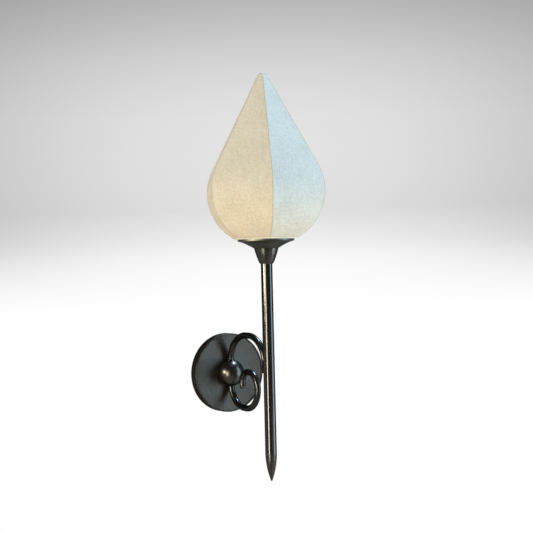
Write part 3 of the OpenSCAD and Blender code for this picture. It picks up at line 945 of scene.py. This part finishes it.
@dataclass
class Bracket:
    """Ball hub, scrolls, stem, neck cup and dish.

    Attributes:
        ball_depth: How far the ball's middle stands from the wall.
        ball: The ball's radius.
        bar: The radius of arm and scroll.
        scroll_end: The depth and height at which the scroll's axis ends.
        scroll_aim: The direction of its end, as shares of depth and height.
        bite: How far a fillet reaches into its bar.
        set_out: How much further out than the ball's middle a fillet's axis lies.
    """

    ball_depth: float = 17.0 * MM
    ball: float = 20.5 * MM
    bar: float = 4.75 * MM
    scroll_end: Tuple[float, float] = (52.6 * MM, -19.9 * MM)
    scroll_aim: Tuple[float, float] = (0.5306, -0.8476)
    bite: float = 0.4 * MM
    set_out: float = 0.4 * MM

    def _filed_end(self, finish: bpy.types.Material) -> None:
        """Files the scroll's cut end to a low dome that shows bright metal.

        Args:
            finish: Its finish.
        """
        (depth, height), (out, up) = self.scroll_end, self.scroll_aim
        # Reach across the bar and rise past its cut, in millimetres.
        crown = [(0.0, 0.7), (2.2, 0.6), (3.7, 0.42), (4.35, 0.15), (4.6, -0.25)]
        section = [*crown, (4.6, -0.9), (0.0, -0.9)]
        outline = [
            (
                0.0,
                -(depth + (rise * out - reach * up) * MM),
                height + (rise * up + reach * out) * MM,
            )
            for reach, rise in section
        ]
        dome = Hand.lathe(outline, "filed_end", (0.0, -depth, height), (0.0, -out, up), 32)
        hang(dome, "bracket", finish)

    def _braze(self, name: str, side: float, finish: bpy.types.Material) -> None:
        """Runs a fillet of braze round the root of a bar, above or below the ball.

        Args:
            name: The fillet's name.
            side: 1 for the arm above, -1 for the scroll below.
            finish: Its finish.
        """
        depth = self.ball_depth + self.set_out
        root = self.bar - self.bite
        # Reach past the bar and rise above the ball, in millimetres.
        toe = [(1.7, -1.0), (1.5, -0.3), (0.8, 0.15), (0.35, 0.75), (0.1, 1.6)]
        section = [(root, -1.4), *((self.bar + out * MM, up) for out, up in toe), (root, 1.7)]
        entry = math.sqrt(self.ball**2 - self.bar**2)
        outline = [(out, -depth, side * (entry + up * MM)) for out, up in section]
        fillet = Hand.lathe(outline, name, (0.0, -depth, 0.0), (0.0, 0.0, 1.0), 48)
        hang(fillet, "bracket", finish)

    def build(self) -> None:
        """Dresses the bronze pieces."""
        turned = Bronze(
            Tooling.TURNED, (0.052, 0.050, 0.043), roughness=0.23, centre=STEM_AXIS
        ).make("bronze_turned")
        flared = Bronze(
            Tooling.TURNED, (0.094, 0.092, 0.082), roughness=0.42, centre=STEM_AXIS
        ).make("bronze_flared")
        drawn = Bronze(
            Tooling.DRAWN,
            (0.052, 0.050, 0.046),
            roughness=0.12,
            centre=STEM_AXIS,
            rub=0.05,
            grain=0.001 * MM,
        ).make("bronze_drawn")
        forged = Bronze(
            Tooling.FORGED, (0.033, 0.033, 0.031), roughness=0.24
        ).make("bronze_forged")
        ball = Bronze(
            Tooling.FORGED, (0.054, 0.051, 0.045), roughness=0.27, rub=0.25, dent=0.02 * MM
        ).make("bronze_ball")
        dress("shade_dish", flared)
        for node in ("stem_point", "neck_cup"):
            dress(node, turned)
        dress("stem", drawn)
        dress("hub_ball", ball)
        for node in ("scroll_arm", "lower_scroll"):
            dress(node, forged)
        self._braze("arm_braze", 1.0, ball)
        self._braze("scroll_braze", -1.0, ball)
        filed = Bronze(Tooling.FORGED, (0.13, 0.13, 0.125), roughness=0.3)
        self._filed_end(filed.make("bronze_filed"))


@dataclass
class Lampholder:
    """Pipe, nut, lampholder, terminals and wires."""

    def build(self) -> None:
        """Dresses the electrical pieces."""
        brass = BareMetal((0.72, 0.55, 0.27), (0.42, 0.30, 0.14)).make("brass")
        zinc = Spangle().make("zinc_thread")
        for node in ("stem_bushing", "holder_cap", "screw_shell", "centre_contact"):
            dress(node, brass)
        dress("terminal_screws", brass)
        for node in ("clamp_pipe", "pipe_nut"):
            dress(node, zinc)
        dress("holder_body", Glaze().make("porcelain"))
        black = Coated((0.018, 0.018, 0.019), (0.05, 0.05, 0.05), roughness=0.42)
        dress("line_wire", black.make("black_insulation"))
        white = Coated((0.78, 0.77, 0.73), (0.62, 0.60, 0.54), roughness=0.42)
        dress("neutral_wire", white.make("white_insulation"))
        strand = BareMetal((0.80, 0.45, 0.28), (0.45, 0.25, 0.15))
        dress("wire_tips", strand.make("copper_strand"))


@dataclass
class Bulb:
    """The screw-in bulb."""

    def build(self) -> None:
        """Dresses the bulb."""
        dress("bulb_glass", Frosted().make("frosted_glass"))
        cap = BareMetal((0.76, 0.76, 0.77), (0.55, 0.55, 0.55), roughness=0.28)
        dress("bulb_cap", cap.make("bulb_metal"))
        paste = Coated((0.012, 0.012, 0.014), (0.03, 0.03, 0.03), roughness=0.12, gloss=1.0)
        dress("bulb_insulator", paste.make("black_glass"))
        solder = BareMetal((0.55, 0.56, 0.57), (0.36, 0.36, 0.36), roughness=0.3)
        dress("bulb_contact", solder.make("solder"))


@dataclass
class Shade:
    """The bud-shaped shade, its seams and its frame.

    Attributes:
        foot: The height of the panels' bottom edge.
        belly: The radius of the belly arc, whose middle lies on the shade's axis.
        belly_height: The height of that middle.
        cone: The angle at which the belly arc passes into the straight part, in degrees.
        tip: The radius of the round tip.
        tip_height: The height of its middle.
        trim: The height at which the seams start, above the foot.
        seam: The radius of a seam's roll of tape.
        sunk: How deep its middle lies in the mitre.
    """

    foot: float = 200.8 * MM
    belly: float = 80.9 * MM
    belly_height: float = 270.13 * MM
    cone: float = 26.39
    tip: float = 7.0 * MM
    tip_height: float = 436.38 * MM
    trim: float = 2.0 * MM
    seam: float = 0.55 * MM
    sunk: float = 0.36 * MM

    def _corner(self) -> List[Point]:
        """The course of one seam, from the trim up to the tip.

        Returns:
            The points that the middle of its roll passes through.
        """
        start = -math.degrees(
            math.asin((self.belly_height - self.foot - self.trim) / self.belly)
        )
        arcs = [
            (self.belly, self.belly_height, start, self.cone, 30),
            (self.tip, self.tip_height, self.cone, 70.0, 4),
        ]
        slope = math.radians(SHADE_TURN - 60.0)
        course = []
        for radius, height, low, high, steps in arcs:
            for i in range(steps + 1):
                turn = math.radians(low + (high - low) * i / steps)
                out = radius * math.cos(turn) / math.cos(math.pi / SIDES) - self.sunk
                course.append((
                    out * math.cos(slope),
                    out * math.sin(slope) - STEM_DEPTH,
                    height + (radius - self.sunk / 2.0) * math.sin(turn),
                ))
        return course

    def _seams(self, tape: bpy.types.Material) -> None:
        """Lays a roll of tape along one corner and copies it to the other five.

        Args:
            tape: The rolls' finish.
        """
        first = Hand.roll(self._corner(), "seam_1", self.seam)
        corner = 360.0 / SIDES
        rolls = [first]
        for number in range(1, SIDES):
            Hand.take(first)
            bpy.ops.object.duplicate()
            copy = bpy.context.object
            bpy.ops.transform.rotate(
                value=math.radians(corner * number), orient_axis="Z", center_override=STEM_AXIS
            )
            rolls.append(Hand.settle(copy, f"seam_{number + 1}", 50.0))
        for copy in rolls:
            hang(copy, "shade", tape)

    def build(self) -> None:
        """Dresses the shade and binds its corners."""
        for number in range(SIDES):
            turn = math.radians(360.0 / SIDES * number + SHADE_TURN)
            cloth = Parchment(turn).make(f"parchment_{number + 1}")
            dress(f"panel_{number + 1}", cloth)
        dress("edge_trim", Tape().make("cream_tape"))
        # Painted shade: the seam rolls get a dark tape, far darker than the cream trim, which
        # paints a shadow line along each corner.
        self._seams(Tape((0.55, 0.49, 0.37), (0.40, 0.33, 0.23)).make("seam_shadow_tape"))
        zinc = Spangle().make("zinc_frame")
        for node in ("frame_ring", "frame_ribs", "apex_hub"):
            dress(node, zinc)


# ---- Studio ------------------------------------------------------------------------------


class Reach(Enum):
    """What a lamp works on: a strip that shapes the metal needn't light the cloth as well."""

    BOTH = "cloth and metal"
    CLOTH = "cloth and floor alone"
    METAL = "the gloss on metal alone"


@dataclass(frozen=True)
class Softbox:
    """One soft lamp, placed by its angles round the object from the camera's own azimuth.

    Attributes:
        name: The lamp's name.
        right: How far it stands to the camera's right, in degrees round the object.
        up: How high it stands, in degrees.
        distance: How far it stands from the point that it faces.
        width: Its width.
        height: Its height.
        radiance: How bright its face is.
        colour: Its colour.
        reach: What it works on.
        aim: The point that it faces.
    """

    name: str
    right: float
    up: float
    distance: float
    width: float
    height: float
    radiance: float
    colour: Colour
    reach: Reach = Reach.BOTH
    aim: Point = (0.0, -0.09, 0.12)

    def place(self, azimuth: float) -> None:
        """Makes the lamp.

        Args:
            azimuth: The camera's azimuth, in degrees.
        """
        data = bpy.data.lights.new(self.name, "AREA")
        data.shape = "RECTANGLE"
        data.size, data.size_y = self.width, self.height
        data.energy = self.radiance * math.pi * self.width * self.height
        data.color = self.colour
        lamp = bpy.data.objects.new(self.name, data)
        bpy.context.scene.collection.objects.link(lamp)
        away = heading(azimuth + self.right, self.up)
        lamp.location = Vector(self.aim) + away * self.distance
        lamp.rotation_euler = away.to_track_quat("Z", "Y").to_euler()
        lamp.visible_camera = False
        lamp.visible_diffuse = self.reach is not Reach.METAL
        lamp.visible_glossy = self.reach is not Reach.CLOTH


def heading(azimuth: float, elevation: float) -> Vector:
    """The direction from the object to a place round it.

    Args:
        azimuth: Degrees round the object, 0 in front of it.
        elevation: Degrees above the horizon.

    Returns:
        The unit vector.
    """
    a, e = math.radians(azimuth), math.radians(elevation)
    return Vector((math.sin(a) * math.cos(e), -math.cos(a) * math.cos(e), math.sin(e)))


@dataclass
class Studio:
    """Camera, backdrop, floor and lamps.

    Attributes:
        azimuth: The camera's place round the object, in degrees.
        elevation: Its height over the horizon, in degrees.
        roll: How far it leans, in degrees.
        distance: How far it stands from the target.
        lens: Its focal length, in millimetres.
        target: The point in the middle of the picture.
        floor_z: The floor's height.
        ambient: The soft light from all round.
        tones: The backdrop's display tone by the height of the direction that is looked in.
        lamps: The lamps.
    """

    azimuth: float = -33.369
    elevation: float = -0.157
    roll: float = -1.367
    distance: float = 1.73732
    lens: float = 77.178
    target: Point = (0.0406, -0.062, 0.16137)
    floor_z: float = -0.55
    ambient: Colour = (0.30, 0.305, 0.295)
    tones: Tuple[Tuple[float, float], ...] = (
        (-0.05, 255), (0.0, 255), (0.0128, 252), (0.0259, 243), (0.052, 228), (0.078, 231),
        (0.104, 232), (0.13, 231), (0.155, 225), (0.18, 216), (0.205, 202), (0.2256, 190),
        (0.27, 166), (0.45, 148),
    )
    lamps: List[Softbox] = field(default_factory=lambda: [
        Softbox("key", -46.0, 11.0, 1.6, 0.50, 1.10, 11.9, (1.0, 0.85, 0.58), Reach.CLOTH),
        Softbox("strip", -32.0, -9.0, 1.6, 0.40, 0.86, 23.0, (1.0, 0.95, 0.77), Reach.METAL),
        Softbox("spot", -58.0, 6.0, 1.6, 0.46, 0.42, 52.0, (1.0, 0.90, 0.66), Reach.METAL),
        Softbox("window", 80.0, -1.0, 1.5, 0.66, 2.4, 8.2, (0.51, 0.78, 1.0)),
        Softbox("sky", 142.0, 67.0, 1.4, 0.34, 0.34, 200.0, (0.50, 0.73, 1.0), Reach.METAL),
        Softbox("top", 40.0, 82.0, 1.5, 0.8, 0.8, 1.1, (0.62, 0.82, 1.0)),
        Softbox("low", 62.0, -50.0, 0.72, 0.9, 0.9, 0.7, (1.0, 0.70, 0.56)),
        Softbox("fill", 170.0, 14.0, 1.7, 0.9, 0.9, 4.1, (1.0, 0.93, 0.82), Reach.CLOTH),
    ])

    def build(self) -> None:
        """Sets up the camera, the world, the floor and the lamps."""
        self._camera()
        self._backdrop()
        self._floor()
        for lamp in self.lamps:
            lamp.place(self.azimuth)

    def _camera(self) -> None:
        """Puts the camera at the photograph's viewpoint."""
        data = bpy.data.cameras.new("camera")
        data.lens = self.lens
        data.sensor_width = SENSOR_WIDTH
        data.clip_start, data.clip_end = 0.05, 60.0
        camera = bpy.data.objects.new("camera", data)
        bpy.context.scene.collection.objects.link(camera)
        back = heading(self.azimuth, self.elevation)
        a, r = math.radians(self.azimuth), math.radians(self.roll)
        right = Vector((math.cos(a), math.sin(a), 0.0))
        up = back.cross(right)
        across = math.cos(r) * right + math.sin(r) * up
        upward = -math.sin(r) * right + math.cos(r) * up
        turn = Matrix((across, upward, back)).transposed().to_4x4()
        stand = Matrix.Translation(Vector(self.target) + back * self.distance)
        camera.matrix_world = stand @ turn
        bpy.context.scene.camera = camera

    def _seen(self, bench: Bench) -> Value:
        """Whether a ray sees the background itself, through the lens, in metal or in glass.

        Args:
            bench: The bench of the world or the floor.

        Returns:
            1 where it does, and 0 elsewhere.
        """
        rays = [
            bench.node("ShaderNodeLightPath", output=name)
            for name in ("Is Camera Ray", "Is Glossy Ray", "Is Transmission Ray")
        ]
        return rays[0].larger(rays[1]).larger(rays[2])

    def _backdrop(self) -> None:
        """A pale backdrop, white at the horizon, greyer above, and dim behind the camera."""
        world = bpy.data.worlds.new("studio")
        bpy.context.scene.world = world
        bench = Bench(world)
        way = bench.node("ShaderNodeTexCoord", output="Generated")
        up = bench.part(way, 2)
        low, high = -0.1, 0.5
        stops = [((z - low) / (high - low), (linear(tone),) * 3) for z, tone in self.tones]
        height = bench.node(
            "ShaderNodeMapRange", feeds={0: up, 1: low, 2: high, 3: 0.0, 4: 1.0}
        )
        tone = bench.node("ShaderNodeValToRGB", {"stops": stops}, {0: height})
        ahead = -heading(self.azimuth, 0.0)
        facing = bench.vector("DOT_PRODUCT", way, tuple(ahead), output=1)
        aside = heading(self.azimuth + 90.0, 0.0)
        across = bench.vector("DOT_PRODUCT", way, tuple(aside), output=1)
        side = (across * across).span(-0.05, 0.09, 1.07, 0.68)
        side = side + (1.0 - side) * up.span(-0.04, 0.03, 1.0, 0.0)
        mirrored = bench.node("ShaderNodeLightPath", output="Is Glossy Ray")
        dim = 1.0 - mirrored * facing.span(0.2, 0.97, 0.85, 0.0)
        pale = bench.blend(1.0, tone, bench.grey(side * dim), "MULTIPLY")
        colour = bench.blend(self._seen(bench), self.ambient, pale)
        bench.close(
            bench.node("ShaderNodeBackground", feeds={"Color": colour, "Strength": 1.0}),
            "ShaderNodeOutputWorld",
        )

    def _floor(self) -> None:
        """A white floor well under the light, which keeps its shadow near the light."""
        Hand.free()
        bpy.ops.mesh.primitive_circle_add(
            vertices=96, radius=9.0, fill_type="NGON", location=(0.0, 0.0, self.floor_z)
        )
        floor = Hand.settle(bpy.context.object, "floor")
        material, bench = new_material("floor_white")
        at = bench.local()
        grain = bench.noise(at, 0.4, detail=2.0)
        lit = bench.surface(
            Base_Color=bench.blend(grain, (0.80, 0.80, 0.79), (0.84, 0.84, 0.83)),
            Roughness=0.9,
            Specular_IOR_Level=0.1,
        )
        mirrored = bench.node("ShaderNodeLightPath", output="Is Glossy Ray")
        ahead = bench.vector("DOT_PRODUCT", at, tuple(-heading(self.azimuth, 0.0)), output=1)
        dim = 1.0 - mirrored * ahead.span(-2.0, 1.2, 0.82, 0.0)
        glow = bench.node(
            "ShaderNodeEmission", feeds={"Color": bench.grey(dim), "Strength": 1.0}
        )
        share = bench.reach(at, (1.0, 1.0, 0.0)).span(0.5, 1.15, 0.8, 1.0)
        bench.close(
            bench.node("ShaderNodeMixShader", feeds={0: self._seen(bench) * share, 1: lit, 2: glow})
        )
        floor.data.materials.append(material)


def linear(tone: float) -> float:
    """A display tone from 0 to 255 as scene light.

    Args:
        tone: The display tone.

    Returns:
        The light, from 0 to 1.
    """
    share = tone / 255.0
    return share / 12.92 if share <= 0.04045 else ((share + 0.055) / 1.055) ** 2.4


def main() -> None:
    """Builds every part in order, from the wall outwards, and then the studio."""
    logging.basicConfig(level=logging.INFO, format="%(name)s: %(message)s")
    for part in (WallPlate(), Bracket(), Lampholder(), Bulb(), Shade(), Studio()):
        part.build()
        LOG.info("%s done", type(part).__name__)
    view = bpy.context.scene.view_settings
    view.view_transform = "Standard"
    Hand.free()


if __name__ == "__main__":
    main()
